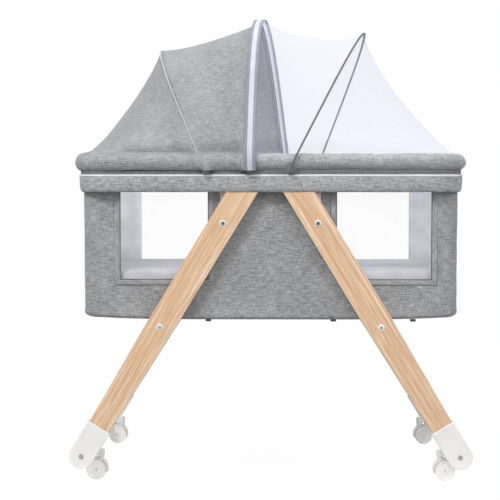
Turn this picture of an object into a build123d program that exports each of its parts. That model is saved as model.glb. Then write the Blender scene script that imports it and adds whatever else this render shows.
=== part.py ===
from build123d import *
import math
import os

os.makedirs("parts", exist_ok=True)

# ------------------------------------------------------------------ driving dimensions (mm)
# Origin on the floor under the middle. X runs along the length, Y to the rear, Z up.
rail_x, rail_y, rail_z = 426.5, 260.0, 731.5    # half length, half width, height of the rail line
rail_corner = 60.0                              # plan radius of the rail bends
tube_r, tube_wall = 11.0, 1.5                   # bent rail tube
roll_r = 20.0                                   # padded roll around the rail tube
hub_r, hub_half = 14.0, 132.0                   # sleeve that joins the two rail tubes
seat = 0.2                                      # gap left between pieces that touch
snug = 0.1                                      # gap inside a sleeve, a cap or a padded bore
room = 0.3                                      # gap round what is let into the roll
fit = 0.08                                      # radial running clearance of pins and bolts
past = 5.0                                      # how far a cut runs on past the face that it leaves
bolt_r, brace_bolt_r, axle_r = 3.5, 3.0, 3.0    # shank radii
washer_r, washer_t, washer_dome, head_t = 7.6, 1.5, 1.2, 1.3    # cap washers, hexagon heads on them
pivot_head_r, brace_head_r, foot_head_r = 4.6, 3.8, 5.8

wall_x, wall_y, wall_t = 429.0, 239.7, 4.0      # outside half sizes of the sewn basket
wall_corner, wall_edge, floor_z = 40.0, 9.0, 373.0    # plan radius, radius of the lower edge, height
windows = {-1: (142.0, 341.0), 1: (150.5, 364.5)}    # edges from the middle, left and right
win_z0, win_z1 = 466.0, 680.0
mesh_t, binding_w, binding_t = 0.8, 9.0, 0.9

skirt_z0, skirt_z1, skirt_t = 664.0, 698.4, 3.5
skirt_x, skirt_y = rail_x + 11.0, rail_y + 12.5
skirt_corner, skirt_lap = rail_corner + 8.0, 8.0      # the band reaches skirt_lap down behind the skirt
band_t, band_top, piping_r = 2.1, 15.0, 2.4           # band_top lies below the rail line

base_tube_r, base_corner, base_slack = 9.0, 26.0, 2.0
cross_x, cross_r = 150.0, 7.0                   # rods across the base frame
board_t, board_slack = 8.0, 3.0
mattress_top, mattress_slack, mattress_edge = 486.0, 4.0, 12.0
tab_x = (-142.0, 144.0, 326.0)                  # webbing loops under the basket
tab_w, tab_d, tab_h, tab_inset = 12.0, 10.0, 4.9, 14.0

pivot_x, pivot_z = 106.9, 593.7                 # bolt on which a leg frame turns
foot_x, foot_z = 430.0, 63.6                    # cross tube between two feet
brace_s = 275.4                                 # from pivot to brace, along the leg
cap_s = 543.0                                   # from pivot to the upper edge of the foot cap
leg_t, leg_w, leg_tip_w, leg_top_z = 20.0, 62.0, 51.4, 668.0
leg_y = 246.3                                   # inner face of a leg
bracket_t, bracket_r, bracket_grip = 6.0, 24.0, 9.0   # grip: reach above and below the rail line
strip_out, strip_in, hook_y = 19.0, 7.0, 4.0    # its strip either side of the bolt, depth of its hook
leg_round, cap_round = 1.5, 2.0
cap_wall, brace_r, foot_tube_r = 2.8, 11.0, 12.5
plug, grip = 25.0, 20.0                         # solid ends of the cross tubes, depth of the bolts in them

caster_y, stem_x, trail = 210.0, 391.6, 10.4
wheel_r, wheel_t, web_t, hood_gap, hood_t = 23.0, 8.0, 9.0, 1.2, 1.8
socket_r, socket_low, socket_high = 8.0, 10.0, 5.0    # stem socket beside the cross tube
clamp_t, arm_low, arm_high = 4.5, 8.0, 4.0      # clamp round the tube, and the arm to the socket
body_r, neck_low, stem_seat = 17.0, 17.0, 3.0   # middle body of a caster, its neck, the stem's root
hood_arc, hood_from = 115.0, 80.0               # the hood starts 80 degrees up on the outer side
tread_edge, tread_round, rim_w, dish, hub_w = 1.0, 1.5, 4.0, 0.9, 3.0

hoop_r, hoop_z, hoop_gap = 2.0, 716.0, 7.5      # hoop_gap lies between the roll and the hoop line
hoop_half_y = rail_y + roll_r + hoop_gap
clip_w, clip_t, clip_lip = 14.0, 4.0, 2.5
pin_half, eye_r, eye_half, foot_rise = 2.2, 5.5, 1.1, 3.5    # clip pin, eye and start of a hoop
bow_rise, bow_turn = 1.24, 4 / 3                # how upright a hoop stands at its feet
hoops = {                                       # front foot x, rear foot x, apex x, apex z
    "hood_hoop": (-142.6, -59.3, -259.5, 1001.5),
    "centre_hoop": (-48.0, 36.3, -25.9, 1074.0),
    "net_hoop": (41.7, 117.6, 226.4, 1043.5),
}
cloth_t, net_t, hem_z, wrap_gap = 1.0, 0.8, 711.0, 1.5
hem_angle, hem_start = -43.0, 330.0             # how far the hem goes under the roll, where it leaves a side
hood_slack, net_slack = (10.0, 20.0), (21.0, 38.0)    # how far the cloth sinks between hoops, and at the ends
ribbon_w, ribbon_t, ribbon_lift, zip_lap = 11.0, 1.0, 0.4, 1.0
steps, cols = 24, 33                            # spans of a hoop line, points across a strip of cloth

lean = math.atan2(foot_x - pivot_x, pivot_z - foot_z)
leg_len = math.hypot(foot_x - pivot_x, pivot_z - foot_z)


def save(piece, name):
    piece.part.label = name
    export_step(piece.part, f"parts/{name}.step")


def xz(y):
    return Plane(origin=(0, y, 0), x_dir=(1, 0, 0), z_dir=(0, -1, 0))


def rod_y(x, z, r, y0, y1, mode=Mode.ADD):
    with Locations(Location((x, (y0 + y1) / 2, z), (90, 0, 0))):
        Cylinder(r, abs(y1 - y0), mode=mode)


def block(x0, x1, y0, y1, z0, z1, mode=Mode.ADD):
    with Locations(((x0 + x1) / 2, (y0 + y1) / 2, (z0 + z1) / 2)):
        Box(abs(x1 - x0), abs(y1 - y0), abs(z1 - z0), mode=mode)


def half_loop(hx, hy, z, corner, side, start=0.0):
    return FilletPolyline((side * start, -hy, z), (side * hx, -hy, z), (side * hx, hy, z),
                          (side * start, hy, z), radius=corner)


def half_sweep(hx, hy, z, corner, side, r, start=0.0, bore=0.0, mode=Mode.ADD):
    with BuildLine() as line:
        path = half_loop(hx, hy, z, corner, side, start)
    with BuildSketch(Plane(origin=path @ 0, z_dir=path % 0)) as ring:
        Circle(r)
        if bore:
            Circle(bore, mode=Mode.SUBTRACT)
    sweep(ring.sketch, path=line.line, mode=mode)


def slab_ring(hx, hy, corner, t, z0, z1, mode=Mode.ADD):
    with BuildSketch(Plane.XY.offset(z0)) as ring:
        RectangleRounded(2 * hx, 2 * hy, corner)
        RectangleRounded(2 * (hx - t), 2 * (hy - t), max(corner - t, 1), mode=Mode.SUBTRACT)
    extrude(ring.sketch, amount=z1 - z0, mode=mode)


# ------------------------------------------------------------------ rail
for name, side in (("rail_tube_left", -1), ("rail_tube_right", 1)):
    with BuildPart() as rail_tube:
        half_sweep(rail_x, rail_y, rail_z, rail_corner, side, tube_r, 1.0, tube_r - tube_wall)
    save(rail_tube, name)

for name, end in (("rail_hub_front", -1), ("rail_hub_rear", 1)):
    with BuildPart() as rail_hub:
        with Locations(Location((0, end * rail_y, rail_z), (0, 90, 0))):
            Cylinder(hub_r, 2 * hub_half)
            Cylinder(tube_r + snug, 2 * (hub_half + past), mode=Mode.SUBTRACT)
    save(rail_hub, name)

strip_x0, strip_x1 = pivot_x - strip_out, pivot_x + strip_in
bracket_y = leg_y - room                        # outer face of a bracket
bracket_top = rail_z + bracket_grip


def bracket_outline(side, end, grow=0.0, mode=Mode.ADD):
    """Plate with a round end at the pivot, and a hook that goes over the rail; grow makes its cut."""
    y0, y1 = end * bracket_y, end * (bracket_y - bracket_t)
    with BuildSketch(xz(max(y0, y1) + grow)) as plate:
        with Locations((side * pivot_x, pivot_z)):
            Circle(bracket_r)
        with Locations((side * (strip_x0 + strip_x1) / 2, (pivot_z + bracket_top) / 2)):
            Rectangle(strip_x1 - strip_x0 + 2 * grow, bracket_top - pivot_z)
    extrude(plate.sketch, amount=bracket_t + 2 * grow, mode=mode)
    block(side * (strip_x0 - grow), side * (strip_x1 + grow), y0, end * (bracket_y + hook_y + grow),
          rail_z - bracket_grip - grow, bracket_top, mode=mode)


for tag, side, end in (("fl", -1, -1), ("fr", 1, -1), ("rl", -1, 1), ("rr", 1, 1)):
    with BuildPart() as leg_bracket:
        bracket_outline(side, end)
        rod_y(side * pivot_x, pivot_z, bolt_r + fit, end * (bracket_y - bracket_t - past),
              end * (bracket_y + past), Mode.SUBTRACT)
        with Locations(Location((0, end * rail_y, rail_z), (0, 90, 0))):
            Cylinder(hub_r + snug, 2 * rail_x, mode=Mode.SUBTRACT)
    save(leg_bracket, f"leg_bracket_{tag}")

# ------------------------------------------------------------------ hoop clips
def bow_height(s):
    """Rise of a hoop, from 0 to 1, where s runs from 0 at a foot to 1 at the top; the feet stand upright."""
    return s * s + bow_rise * s ** bow_turn * (1 - s) ** 4


def arch(foot, t, out=0.0, sag=0.0):
    """Point at share t of a hoop line, out mm outside it; sag lowers the crown."""
    xf, xr, ax, az = foot
    mid, half_x, rise = (xf + xr) / 2, (xr - xf) / 2, az - hem_z

    def on(u):
        u = min(max(u, 0.0), 1.0)
        y, h = -math.cos(math.pi * u), bow_height(max(math.sin(math.pi * u), 0.0)) * (1 - sag / rise)
        return Vector(mid + half_x * y + (ax - mid) * h, hoop_half_y * y, hem_z + rise * h)

    p = on(t)
    flat = Vector(half_x, hoop_half_y, 0).cross(Vector(ax - mid, 0, rise))
    n = (on(t + 0.002) - on(t - 0.002)).cross(flat).normalized()
    if n.dot(p - Vector(mid, 0, floor_z)) < 0:
        n = n * -1
    p = p + n * out
    return (p.X, p.Y, p.Z)


def hoop_share(foot, above):
    """Share of the hoop line at which it stands a given height above the hem, found by halving."""
    low, high = 0.0, 0.5
    while high - low > 1e-9:
        mid = (low + high) / 2
        if bow_height(math.sin(math.pi * mid)) * (foot[3] - hem_z) < above:
            low = mid
        else:
            high = mid
    return low


def clip_frame(foot, end):
    t = hoop_share(foot, hoop_z - hem_z)
    x, y, z = arch(foot, t if end < 0 else 1 - t)
    turn = -math.degrees(math.atan2(foot[1] - foot[0], 2 * hoop_half_y))
    return Location((x, y, z), (0, 0, turn))


clip_near, clip_far = hoop_r + room, hoop_half_y - rail_y + clip_t / 2
clip_top = rail_z - roll_r - hoop_z - 2.0       # upper face of the arm, just under the roll
clip_low = clip_top - clip_t
post_top = rail_z - hoop_z - 3.0                # inside the rail tube's sleeve, where the cut ends the post


def clip_blocks(end, grow=0.0, mode=Mode.ADD):
    """A clip in its hoop's frame: lip beside the hoop foot, arm under the roll, post to the rail."""
    half, e = clip_w / 2 + grow, -end
    block(-half, half, e * (clip_near - grow), e * (clip_near + clip_lip), clip_low - grow, clip_lip, mode)
    block(-half, half, e * clip_near, e * (clip_far + grow), clip_low - grow, clip_top + grow, mode)
    block(-half, half, e * (clip_far - clip_t - grow), e * (clip_far + grow), clip_low, post_top, mode)


with BuildPart() as hoop_clips:
    for foot in hoops.values():
        for end in (-1, 1):
            with Locations(clip_frame(foot, end)):
                clip_blocks(end)
                with Locations(Location((0, -end * room, 0), (90, 0, 0))):
                    Cylinder(hoop_r, 2 * pin_half)
    for end in (-1, 1):
        with Locations(Location((0, end * rail_y, rail_z), (0, 90, 0))):
            Cylinder(hub_r + snug, 2 * (hub_half + seat), mode=Mode.SUBTRACT)
            Cylinder(tube_r + snug, 2 * (rail_x - rail_corner), mode=Mode.SUBTRACT)
save(hoop_clips, "hoop_clips")

# ------------------------------------------------------------------ padded roll, skirt, piping
with BuildPart() as rail_cover:
    for side in (-1, 1):
        half_sweep(rail_x, rail_y, rail_z, rail_corner, side, roll_r, 0.0, tube_r + snug)
    for end in (-1, 1):
        with Locations(Location((0, end * rail_y, rail_z), (0, 90, 0))):
            Cylinder(hub_r + snug, 2 * (hub_half + seat), mode=Mode.SUBTRACT)
        for side in (-1, 1):
            bracket_outline(side, end, room, Mode.SUBTRACT)
    for foot in hoops.values():
        for end in (-1, 1):
            with Locations(clip_frame(foot, end)):
                clip_blocks(end, room, Mode.SUBTRACT)
save(rail_cover, "rail_cover")

band_x, band_y = skirt_x - skirt_t, skirt_y - skirt_t
with BuildPart() as rail_skirt:
    slab_ring(skirt_x, skirt_y, skirt_corner, skirt_t, skirt_z0, skirt_z1)
    fillet(rail_skirt.faces().sort_by(Axis.Z)[0].edges(), skirt_t * 0.4)
    slab_ring(band_x, band_y, skirt_corner - skirt_t, band_t, skirt_z1 - skirt_lap, rail_z - band_top)
    for side in (-1, 1):
        half_sweep(rail_x, rail_y, rail_z, rail_corner, side, roll_r + seat, mode=Mode.SUBTRACT)
    for foot in hoops.values():
        for end in (-1, 1):
            with Locations(clip_frame(foot, end)):
                clip_blocks(end, room, Mode.SUBTRACT)
save(rail_skirt, "rail_skirt")

with BuildPart() as rail_piping:
    for side in (-1, 1):
        half_sweep(band_x + piping_r + seat, band_y + piping_r + seat, skirt_z1 + piping_r + seat,
                   skirt_corner - 1, side, piping_r)
save(rail_piping, "rail_piping")

# ------------------------------------------------------------------ sewn basket and its windows
with BuildPart() as basket_shell:
    with BuildSketch(Plane.XY.offset(floor_z)):
        RectangleRounded(2 * wall_x, 2 * wall_y, wall_corner)
    extrude(amount=rail_z - floor_z)
    fillet(basket_shell.faces().sort_by(Axis.Z)[0].edges(), wall_edge)
    with BuildSketch(Plane.XY.offset(floor_z + wall_t)):
        RectangleRounded(2 * (wall_x - wall_t), 2 * (wall_y - wall_t), wall_corner - wall_t)
    extrude(amount=rail_z - floor_z, mode=Mode.SUBTRACT)
    for side in (-1, 1):
        half_sweep(rail_x, rail_y, rail_z, rail_corner, side, roll_r + seat, mode=Mode.SUBTRACT)
        x0, x1 = windows[side]
        block(side * x0, side * x1, -wall_y - past, wall_y + past, win_z0, win_z1, Mode.SUBTRACT)
save(basket_shell, "basket_shell")

for tag, side, end in (("fl", -1, -1), ("fr", 1, -1), ("rl", -1, 1), ("rr", 1, 1)):
    mid = end * (wall_y - wall_t / 2)
    x0, x1 = windows[side]
    with BuildPart() as window_mesh:
        block(side * (x0 + seat), side * (x1 - seat), mid - mesh_t / 2, mid + mesh_t / 2,
              win_z0 + seat, win_z1 - seat)
    save(window_mesh, f"window_mesh_{tag}")

with BuildPart() as window_bindings:
    for side, (x0, x1) in windows.items():
        for end in (-1, 1):
            y0, y1 = end * (wall_y + fit / 2), end * (wall_y + fit / 2 + binding_t)
            block(side * (x0 - binding_w), side * (x1 + binding_w), y0, y1,
                  win_z0 - binding_w, win_z1 + binding_w)
            block(side * x0, side * x1, y0 - end * past, y1 + end * past, win_z0, win_z1, Mode.SUBTRACT)
save(window_bindings, "window_bindings")

# ------------------------------------------------------------------ base of the basket
base_z = floor_z + wall_t + base_tube_r + seat
base_x = wall_x - wall_t - base_tube_r - base_slack
base_y = wall_y - wall_t - base_tube_r - base_slack
with BuildPart() as base_frame:
    for side in (-1, 1):
        half_sweep(base_x, base_y, base_z, base_corner, side, base_tube_r)
        rod_y(side * cross_x, base_z, cross_r, -base_y, base_y)
save(base_frame, "base_frame")

board_z = base_z + base_tube_r + seat
board_in = wall_t + board_slack
with BuildPart() as base_board:
    with BuildSketch(Plane.XY.offset(board_z)):
        RectangleRounded(2 * (wall_x - board_in), 2 * (wall_y - board_in), wall_corner - board_in)
    extrude(amount=board_t)
save(base_board, "base_board")

mattress_in = wall_t + mattress_slack
with BuildPart() as mattress:
    with BuildSketch(Plane.XY.offset(board_z + board_t + seat)):
        RectangleRounded(2 * (wall_x - mattress_in), 2 * (wall_y - mattress_in), wall_corner - mattress_in)
    extrude(amount=mattress_top - board_z - board_t - seat)
    fillet(mattress.faces().sort_by(Axis.Z)[-1].edges(), mattress_edge)
save(mattress, "mattress")

with BuildPart() as base_tabs:
    for x in tab_x:
        for end in (-1, 1):
            tab_y = end * (wall_y - tab_inset)
            block(x - tab_w / 2, x + tab_w / 2, tab_y, tab_y - end * tab_d,
                  floor_z - snug - tab_h, floor_z - snug)
save(base_tabs, "base_tabs")

# ------------------------------------------------------------------ legs and feet
cos_l, sin_l = math.cos(lean), math.sin(lean)
leg_out = leg_y + leg_t                         # outer face of a leg


def bolt(x, z, end, shank, head, inner, seat_y):
    """A bolt along Y from inner to its seat, with a hexagon head that lies seat / 2 off it."""
    rod_y(x, z, shank, end * inner, end * (seat_y + seat))
    y0, y1 = end * (seat_y + seat / 2), end * (seat_y + seat / 2 + head_t)
    with BuildSketch(xz(max(y0, y1))) as hexagon:
        with Locations((x, z)):
            RegularPolygon(head, 6)
    extrude(hexagon.sketch, amount=head_t)


def washer(x, z, end, shank):
    """A domed cap washer on the outer face of a leg."""
    y0 = end * (leg_out + fit)
    edge = Plane(origin=(x, y0, z), x_dir=(0, end, 0), z_dir=(-end, 0, 0))
    with BuildSketch(edge) as profile:
        Polygon((0, shank + fit), (washer_t, shank + fit), (washer_t, washer_r - washer_dome),
                (washer_t / 2, washer_r), (0, washer_r), align=None)
    revolve(profile.sketch, axis=Axis((x, y0, z), (0, 1, 0)))


def leg_pt(side, s, w):
    return (side * (pivot_x + s * sin_l + w * cos_l), pivot_z - s * cos_l + w * sin_l)


def top_s(w):
    return (pivot_z + w * sin_l - leg_top_z) / cos_l


def tip_outline(side, half, start):
    Polygon(leg_pt(side, start, half), leg_pt(side, leg_len, half),
            leg_pt(side, leg_len, -half), leg_pt(side, start, -half), align=None)
    with Locations(leg_pt(side, leg_len, 0)):
        Circle(half)


for tag, side, end in (("fl", -1, -1), ("fr", 1, -1), ("rl", -1, 1), ("rr", 1, 1)):
    y_in, y_out = end * leg_y, end * leg_out
    half, tip = leg_w / 2, leg_tip_w / 2
    bores = [(0, bolt_r + fit), (brace_s, brace_bolt_r + fit), (leg_len, bolt_r + fit)]
    with BuildPart() as leg:
        with BuildSketch(xz(max(y_in, y_out))):
            with BuildLine():
                Polyline(leg_pt(side, top_s(-half), -half), leg_pt(side, top_s(half), half),
                         leg_pt(side, brace_s, half), leg_pt(side, cap_s, tip),
                         leg_pt(side, cap_s, -tip), leg_pt(side, brace_s, -half), close=True)
            make_face()
            tip_outline(side, tip, cap_s - 1)
        extrude(amount=leg_t)
        fillet(leg.faces().filter_by(Axis.Y).edges(), leg_round)
        for s, r in bores:
            x, z = leg_pt(side, s, 0)
            rod_y(x, z, r, y_in - end, y_out + end, Mode.SUBTRACT)
    save(leg, f"leg_{tag}")
    with BuildPart() as foot_cap:
        grown = tip + cap_wall
        with BuildSketch(xz(max(y_in - end * cap_wall, y_out + end * cap_wall))):
            tip_outline(side, grown, cap_s)
        extrude(amount=leg_t + 2 * cap_wall)
        fillet(foot_cap.faces().filter_by(Axis.Y).edges(), cap_round)
        with BuildSketch(xz(max(y_in - end * snug, y_out + end * snug))):
            tip_outline(side, tip + snug, cap_s - past)
        extrude(amount=leg_t + 2 * snug, mode=Mode.SUBTRACT)
        rod_y(side * foot_x, foot_z, bolt_r + fit, y_in - end * past, y_out + end * past, Mode.SUBTRACT)
    save(foot_cap, f"foot_cap_{tag}")

for tag, side in (("left", -1), ("right", 1)):
    bx, bz = leg_pt(side, brace_s, 0)
    by = leg_y - seat
    with BuildPart() as brace_tube:
        rod_y(bx, bz, brace_r, -by, by)
        rod_y(bx, bz, brace_r - tube_wall, -by + plug, by - plug, Mode.SUBTRACT)
        rod_y(bx, bz, brace_bolt_r + fit, -by - past, by + past, Mode.SUBTRACT)
    save(brace_tube, f"brace_tube_{tag}")
    fy = leg_y - cap_wall - seat
    with BuildPart() as foot_tube:
        rod_y(side * foot_x, foot_z, foot_tube_r, -fy, fy)
        rod_y(side * foot_x, foot_z, foot_tube_r - tube_wall, -fy + plug, fy - plug, Mode.SUBTRACT)
        rod_y(side * foot_x, foot_z, bolt_r + fit, -fy - past, fy + past, Mode.SUBTRACT)
    save(foot_tube, f"foot_tube_{tag}")
    with BuildPart() as leg_bolts:
        for end in (-1, 1):
            bolt(bx, bz, end, brace_bolt_r, brace_head_r, by - grip, leg_out + washer_t + fit)
            bolt(side * foot_x, foot_z, end, bolt_r, foot_head_r, fy - grip, leg_out + cap_wall)
    save(leg_bolts, f"leg_bolts_{tag}")
    with BuildPart() as brace_washers:
        for end in (-1, 1):
            washer(bx, bz, end, brace_bolt_r)
    save(brace_washers, f"brace_washers_{tag}")

with BuildPart() as pivot_bolts:
    for side in (-1, 1):
        for end in (-1, 1):
            bolt(side * pivot_x, pivot_z, end, bolt_r, pivot_head_r, bracket_y - bracket_t,
                 leg_out + washer_t + fit)
save(pivot_bolts, "pivot_bolts")

with BuildPart() as pivot_washers:
    for side in (-1, 1):
        for end in (-1, 1):
            washer(side * pivot_x, pivot_z, end, bolt_r)
save(pivot_washers, "pivot_washers")

# ------------------------------------------------------------------ casters
for tag, side in (("left", -1), ("right", 1)):
    with BuildPart() as caster_brackets:
        for end in (-1, 1):
            y0, y1 = end * (caster_y - socket_r), end * (caster_y + socket_r)
            rod_y(side * foot_x, foot_z, foot_tube_r + clamp_t, y0, y1)
            block(side * foot_x, side * stem_x, y0, y1, foot_z - arm_low, foot_z + arm_high)
            with Locations((side * stem_x, end * caster_y, foot_z + (socket_high - socket_low) / 2)):
                Cylinder(socket_r, socket_high + socket_low)
        for end in (-1, 1):
            rod_y(side * foot_x, foot_z, foot_tube_r + snug, end * (caster_y - socket_r - past),
                  end * (caster_y + socket_r + past), Mode.SUBTRACT)
            with Locations((side * stem_x, end * caster_y, foot_z)):
                Cylinder(bolt_r + fit, 2 * (socket_low + socket_high + past), mode=Mode.SUBTRACT)
    save(caster_brackets, f"caster_brackets_{tag}")


def wheel_disc(x, y, e, a0, a1):
    """One wheel of a pair: rounded tread, dished outer face, raised hub; a0 and a1 are its faces."""
    bore, rim, low = axle_r + fit, wheel_r - rim_w, a1 - dish
    flat = Plane(origin=(x, y, wheel_r), x_dir=(0, e, 0), z_dir=(e, 0, 0))
    with BuildSketch(flat) as profile:
        with BuildLine():
            tread = Line((a0 + tread_edge, wheel_r), (a1 - tread_round, wheel_r))
            shoulder = TangentArc(tread @ 1, (a1, wheel_r - tread_round), tangent=tread % 1)
            Polyline(shoulder @ 1, (a1, rim), (low, rim - dish), (low, bore + hub_w + dish),
                     (a1, bore + hub_w), (a1, bore), (a0, bore), (a0, wheel_r - tread_edge), tread @ 0)
        make_face()
    revolve(profile.sketch, axis=Axis((x, y, wheel_r), (0, 1, 0)))


for tag, side, end in (("fl", -1, -1), ("fr", 1, -1), ("rl", -1, 1), ("rr", 1, 1)):
    wx, cy = side * (stem_x + trail), end * caster_y
    hood_in, hood_out = wheel_r + hood_gap, wheel_r + hood_gap + hood_t
    half = web_t / 2 + wheel_t
    neck_z0, neck_z1, stem_top = wheel_r + neck_low, foot_z - socket_low - seat, foot_z + socket_high
    first_angle = hood_from if side > 0 else 180 - hood_from - hood_arc
    with BuildPart() as caster_housing:
        rod_y(wx, wheel_r, body_r, cy - web_t / 2, cy + web_t / 2)
        with BuildSketch(xz(cy + half)):
            with BuildLine():
                a = CenterArc((wx, wheel_r), hood_out, first_angle, hood_arc)
                Polyline(a @ 1, (wx, wheel_r), a @ 0)
            make_face()
        extrude(amount=2 * half)
        with Locations((side * stem_x, cy, (neck_z0 + neck_z1) / 2)):
            Cylinder(socket_r - 1, neck_z1 - neck_z0)
        for e in (-1, 1):
            rod_y(wx, wheel_r, hood_in, cy + e * web_t / 2, cy + e * (half + past), Mode.SUBTRACT)
        with Locations((side * stem_x, cy, (neck_z1 - stem_seat + stem_top) / 2)):
            Cylinder(bolt_r, stem_top - neck_z1 + stem_seat)
        rod_y(wx, wheel_r, axle_r + fit, cy - half - past, cy + half + past, Mode.SUBTRACT)
    save(caster_housing, f"caster_housing_{tag}")
    with BuildPart() as caster_axle:
        rod_y(wx, wheel_r, axle_r, cy - half, cy + half)
    save(caster_axle, f"caster_axle_{tag}")
    with BuildPart() as caster_wheels:
        for e in (-1, 1):
            wheel_disc(wx, cy, e, web_t / 2 + 2 * seat, half - seat)
    save(caster_wheels, f"caster_wheels_{tag}")

# ------------------------------------------------------------------ canopy hoops
for name, foot in hoops.items():
    with BuildPart() as hoop:
        first = hoop_share(foot, hoop_z - hem_z + foot_rise)
        pts = [arch(foot, first + (1 - 2 * first) * i / steps) for i in range(steps + 1)]
        with BuildLine() as bow:
            for i in range(0, steps, 2):
                ThreePointArc(pts[i], pts[i + 1], pts[i + 2])
        with BuildSketch(Plane(origin=bow.line @ 0, z_dir=bow.line % 0)):
            Circle(hoop_r)
        sweep(path=bow.line)
        for end in (-1, 1):
            with Locations(clip_frame(foot, end)):
                with Locations(Location((0, 0, 0), (90, 0, 0))):
                    Cylinder(eye_r, 2 * eye_half)
                    Cylinder(hoop_r + fit, 2 * (eye_half + past), mode=Mode.SUBTRACT)
    save(hoop, name)

# ------------------------------------------------------------------ canopy cloth
def rail_near(x, y):
    cx, cy = rail_x - rail_corner, rail_y - rail_corner
    ax, ay = abs(x), abs(y)
    if ax > cx and ay > cy:
        d = math.hypot(ax - cx, ay - cy) or 1.0
        px, py = cx + (ax - cx) * rail_corner / d, cy + (ay - cy) * rail_corner / d
    elif rail_x - ax < rail_y - ay:
        px, py = rail_x, ay
    else:
        px, py = ax, rail_y
    return math.copysign(px, x), math.copysign(py, y)


def clear_of_roll(p, gap):
    nx, ny = rail_near(p[0], p[1])
    dx, dy, dz = p[0] - nx, p[1] - ny, p[2] - rail_z
    d = math.sqrt(dx * dx + dy * dy + dz * dz) or 1.0
    if d >= roll_r + gap:
        return p
    k = (roll_r + gap) / d
    return (nx + dx * k, ny + dy * k, rail_z + dz * k)


def end_loop(side, x0, t, off):
    """Point at share t of the way round one end of the rail line, off mm outside it."""
    hx, hy, r = rail_x + off, rail_y + off, rail_corner + off
    run, arc, across = hx - r - x0, math.pi * r / 2, 2 * (hy - r)
    s = t * (2 * run + 2 * arc + across)
    flip = -1.0
    if s > run + arc + across / 2:
        s = 2 * run + 2 * arc + across - s
        flip = 1.0
    if s < run:
        x, y = x0 + s, hy
    elif s < run + arc:
        a = (s - run) / r
        x, y = hx - r + r * math.sin(a), hy - r + r * math.cos(a)
    else:
        x, y = hx, hy - r - (s - run - arc)
    return side * x, flip * y


def smooth(v):
    v = min(max(v, 0.0), 1.0)
    return v * v * (3 - 2 * v)


def wrap_point(side, t, share, out):
    """Point on the cloth round the roll, from where it lands (share 0) to its hem (share 1)."""
    near = smooth(min(t, 1 - t) / 0.22)
    r = (hoop_half_y + out - rail_y) * (1 - near) + (roll_r + wrap_gap) * near
    land = hem_angle + (90 - hem_angle) * (0.1 + 0.9 * smooth(min(t, 1 - t) / 0.1))
    a = math.radians(land + (hem_angle - land) * share)
    x, y = end_loop(side, hem_start, t, r * math.cos(a))
    return x, y, rail_z + r * math.sin(a)


def end_slack(w):
    """Share of the slack at w of the way down an end panel, most of it in the upper half."""
    return math.sin(math.pi * (w / 0.87) ** 0.8) if w < 0.87 else 0.0


def cloth_rows(side, inner, outer, sag_mid, sag_end, out, ts):
    """Rows of points from the zip, over the end hoop and down round the end of the rail."""
    rows = []
    for u in (0.0, 0.25, 0.5, 0.75, 1.0):
        foot = [inner[k] * (1 - u) + outer[k] * u for k in range(4)]
        if u == 0.0:
            zip_x = side * (ribbon_w / 2 - zip_lap)
            foot = [foot[0] + zip_x, foot[1] + zip_x, foot[2] + zip_x, foot[3]]
        rows.append([arch(foot, t, out, 4 * u * (1 - u) * sag_mid) for t in ts])
    top = rows[-1]
    for w in (0.2, 0.4, 0.6, 0.8, 0.92, 1.0):
        row = []
        for t, a in zip(ts, top):
            b = wrap_point(side, t, 0.0, out)
            drop = sag_end * end_slack(w) * math.sin(math.pi * t) ** 2
            p = (a[0] + (b[0] - a[0]) * w, a[1] + (b[1] - a[1]) * w, a[2] + (b[2] - a[2]) * w - drop)
            row.append(clear_of_roll(p, wrap_gap))
        rows.append(row)
    for share in (0.25, 0.5, 0.75, 1.0):
        rows.append([wrap_point(side, t, share, out) for t in ts])
    return [[Vector(*p) for p in row] for row in rows]


def shifted(grid, t):
    """The same net of points moved t along the surface, away from the middle of the canopy."""
    last_row, last_col = len(grid) - 1, len(grid[0]) - 1
    moved = []
    for i in range(last_row + 1):
        line = []
        for j in range(last_col + 1):
            du = grid[min(i + 1, last_row)][j] - grid[max(i - 1, 0)][j]
            dv = grid[i][min(j + 1, last_col)] - grid[i][max(j - 1, 0)]
            n = du.cross(dv).normalized()
            p = grid[i][j]
            if n.dot(p - Vector(0, 0, floor_z)) < 0:
                n = n * -1
            line.append(p + n * t)
        moved.append(line)
    return moved


def cloth_solid(grid, t, ts):
    near = [Edge.make_spline(row, parameters=ts) for row in grid]
    far = [Edge.make_spline(row, parameters=ts) for row in shifted(grid, t)]
    faces = [Face.make_surface_from_curves(near[0], far[0]), Face.make_surface_from_curves(near[-1], far[-1])]
    for edges in (near, far):
        faces += [Face.make_surface_from_curves(e, f) for e, f in zip(edges, edges[1:])]
    for share in (0, 1):
        for i in range(len(near) - 1):
            a, b, c, d = near[i] @ share, near[i + 1] @ share, far[i + 1] @ share, far[i] @ share
            faces.append(Face.make_surface_from_curves(Edge.make_line(a, b), Edge.make_line(d, c)))
    return Solid(Shell(faces))


hood_foot, mid_foot, net_foot = hoops["hood_hoop"], hoops["centre_hoop"], hoops["net_hoop"]
lift = hoop_r + wrap_gap
shares = [0.5 - 0.5 * math.cos(math.pi * (0.06 + 0.88 * j / (cols - 1))) for j in range(cols)]
shares = [(t - shares[0]) / (shares[-1] - shares[0]) for t in shares]
for name, side, foot, slack, t in (("hood_fabric", -1, hood_foot, hood_slack, cloth_t),
                                   ("net_fabric", 1, net_foot, net_slack, net_t)):
    with BuildPart() as fabric:
        add(cloth_solid(cloth_rows(side, mid_foot, foot, slack[0], slack[1], lift, shares), t, shares))
    save(fabric, name)

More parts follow.
